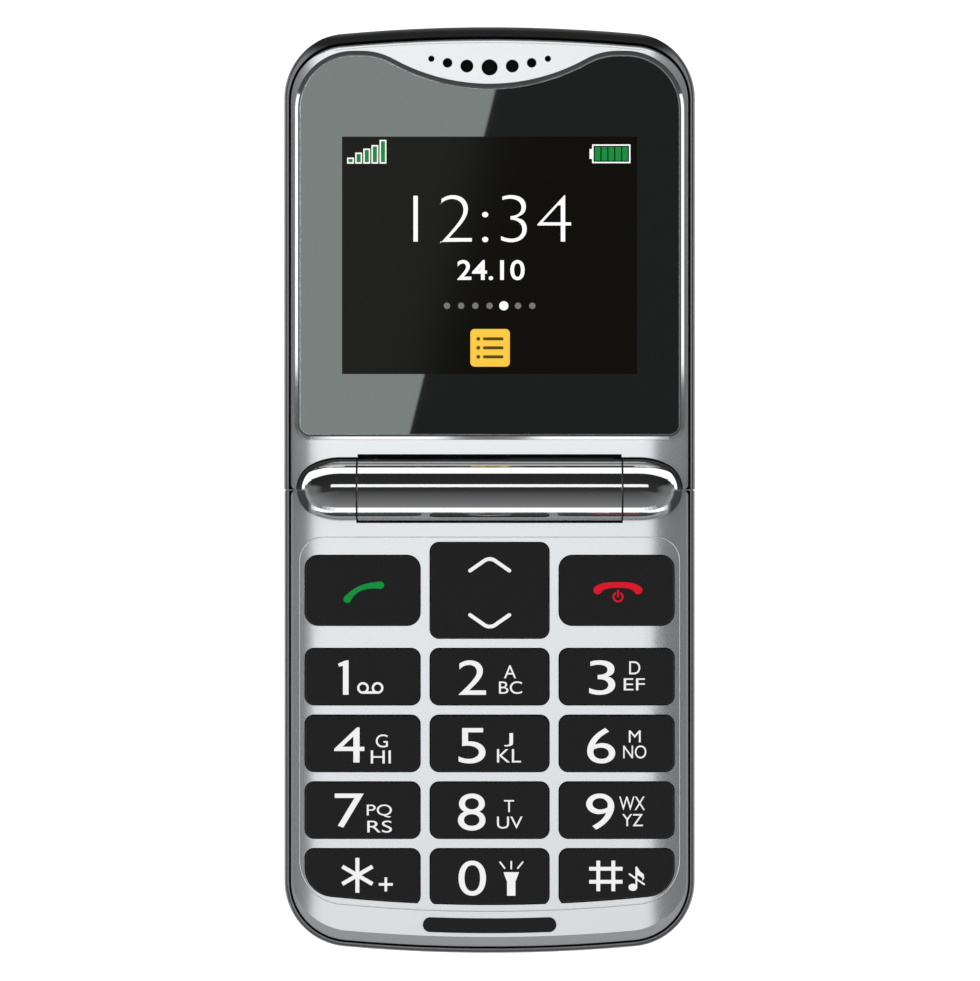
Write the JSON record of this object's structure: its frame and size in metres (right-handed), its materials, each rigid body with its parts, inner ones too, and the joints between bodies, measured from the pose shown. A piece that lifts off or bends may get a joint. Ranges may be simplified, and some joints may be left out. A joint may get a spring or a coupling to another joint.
{
  "type": "folding mobile phone",
  "caption": "Clamshell phone open flat: display in the lid, chromed hinge barrel between domed caps, large raised keypad and two-way rocker in the base.",
  "frame": {"origin": "on the table, under the middle of the hinge axis, with the phone open flat on its back", "axes": "+X across to the phone's right, +Y from the hinge to the lid's free end, +Z out of the keys and display"},
  "size_m": [0.055, 0.1242, 0.0146],
  "materials": {
    "silver_plastic": "satin silver paint with fine metallic grain",
    "dark_plastic": "fine matt texture",
    "gunmetal_trim": "gunmetal lacquer, half gloss",
    "key_plastic": "glossy black",
    "chromed_plastic": "bright chrome plating",
    "bumper_rubber": "smooth black",
    "battery_wrap": "shrink film",
    "black_moulding": "moulded",
    "circuit_board": "solder mask",
    "dome_film": "clear film over metal domes",
    "silicone": "soft silicone",
    "plated_steel": "nickel plated",
    "flex_film": "amber polyimide film",
    "lens_glass": "clear acrylic over black, high gloss",
    "display_black": "dark display",
    "black_mesh": "fine weave",
    "torch_clear": "clear",
    "led_white": "lamp with yellow phosphor"
  },
  "bodies": {
    "base": {"base_rear_case": "dark_plastic", "base_side_band": "gunmetal_trim", "base_front_case": "silver_plastic", "keypad_plate": "silver_plastic", "chin_bumper": "bumper_rubber", "battery": "battery_wrap", "battery_contacts": "black_moulding", "main_board": "circuit_board", "dome_sheet": "dome_film", "keypad_membrane": "silicone", "sim_holder": "plated_steel", "usb_port": "plated_steel", "microphone": "plated_steel", "loudspeaker": "black_moulding", "vibration_motor": "plated_steel", "antenna": "black_moulding", "base_screws": "plated_steel", "hinge_cam_shaft": "plated_steel", "hinge_bush": "plated_steel", "hinge_cap_left": "chromed_plastic", "hinge_cap_right": "chromed_plastic"},
    "lid": {"hinge_barrel": "chromed_plastic", "hinge_cartridge": "plated_steel", "hinge_flex": "flex_film", "lid_rear_case": "dark_plastic", "lid_side_band": "gunmetal_trim", "lid_front_case": "silver_plastic", "lens_trim": "chromed_plastic", "display_lens": "lens_glass", "lcd_module": "display_black", "lid_board": "circuit_board", "earpiece_speaker": "black_moulding", "earpiece_mesh": "black_mesh", "lid_magnet": "plated_steel", "torch_lens": "torch_clear", "torch_led": "led_white", "lid_screws": "plated_steel"},
    "battery_cover": {"battery_cover": "dark_plastic"},
    "call_key": {"call_key": "key_plastic"},
    "end_key": {"end_key": "key_plastic"},
    "nav_key": {"nav_key": "key_plastic"},
    "key_1": {"key_1": "key_plastic"},
    "key_2": {"key_2": "key_plastic"},
    "key_3": {"key_3": "key_plastic"},
    "key_4": {"key_4": "key_plastic"},
    "key_5": {"key_5": "key_plastic"},
    "key_6": {"key_6": "key_plastic"},
    "key_7": {"key_7": "key_plastic"},
    "key_8": {"key_8": "key_plastic"},
    "key_9": {"key_9": "key_plastic"},
    "key_star": {"key_star": "key_plastic"},
    "key_0": {"key_0": "key_plastic"},
    "key_hash": {"key_hash": "key_plastic"}
  },
  "joints": [
    {"name": "lid_hinge", "type": "hinge", "parent": "base", "child": "lid", "pos_m": [0, 0, 0.0105], "axis": [1, 0, 0], "range_deg": [0, 180]},
    {"name": "cover_slide", "type": "slide", "parent": "base", "child": "battery_cover", "axis": [0, -1, 0], "range_m": [0, 0.005]},
    {"name": "nav_key_rock", "type": "hinge", "parent": "base", "child": "nav_key", "pos_m": [0, -0.01343, 0.00845], "axis": [1, 0, 0], "range_deg": [-2.5, 2.5], "stiffness_Nm_per_rad": 0.1},
    {"name": "call_key_press", "type": "slide", "parent": "base", "child": "call_key", "axis": [0, 0, -1], "range_m": [0, 0.0004], "stiffness_N_per_m": 1500},
    {"name": "end_key_press", "type": "slide", "parent": "base", "child": "end_key", "axis": [0, 0, -1], "range_m": [0, 0.0004], "stiffness_N_per_m": 1500},
    {"name": "key_1_press", "type": "slide", "parent": "base", "child": "key_1", "axis": [0, 0, -1], "range_m": [0, 0.0004], "stiffness_N_per_m": 1500},
    {"name": "key_2_press", "type": "slide", "parent": "base", "child": "key_2", "axis": [0, 0, -1], "range_m": [0, 0.0004], "stiffness_N_per_m": 1500},
    {"name": "key_3_press", "type": "slide", "parent": "base", "child": "key_3", "axis": [0, 0, -1], "range_m": [0, 0.0004], "stiffness_N_per_m": 1500},
    {"name": "key_4_press", "type": "slide", "parent": "base", "child": "key_4", "axis": [0, 0, -1], "range_m": [0, 0.0004], "stiffness_N_per_m": 1500},
    {"name": "key_5_press", "type": "slide", "parent": "base", "child": "key_5", "axis": [0, 0, -1], "range_m": [0, 0.0004], "stiffness_N_per_m": 1500},
    {"name": "key_6_press", "type": "slide", "parent": "base", "child": "key_6", "axis": [0, 0, -1], "range_m": [0, 0.0004], "stiffness_N_per_m": 1500},
    {"name": "key_7_press", "type": "slide", "parent": "base", "child": "key_7", "axis": [0, 0, -1], "range_m": [0, 0.0004], "stiffness_N_per_m": 1500},
    {"name": "key_8_press", "type": "slide", "parent": "base", "child": "key_8", "axis": [0, 0, -1], "range_m": [0, 0.0004], "stiffness_N_per_m": 1500},
    {"name": "key_9_press", "type": "slide", "parent": "base", "child": "key_9", "axis": [0, 0, -1], "range_m": [0, 0.0004], "stiffness_N_per_m": 1500},
    {"name": "key_star_press", "type": "slide", "parent": "base", "child": "key_star", "axis": [0, 0, -1], "range_m": [0, 0.0004], "stiffness_N_per_m": 1500},
    {"name": "key_0_press", "type": "slide", "parent": "base", "child": "key_0", "axis": [0, 0, -1], "range_m": [0, 0.0004], "stiffness_N_per_m": 1500},
    {"name": "key_hash_press", "type": "slide", "parent": "base", "child": "key_hash", "axis": [0, 0, -1], "range_m": [0, 0.0004], "stiffness_N_per_m": 1500}
  ]
}
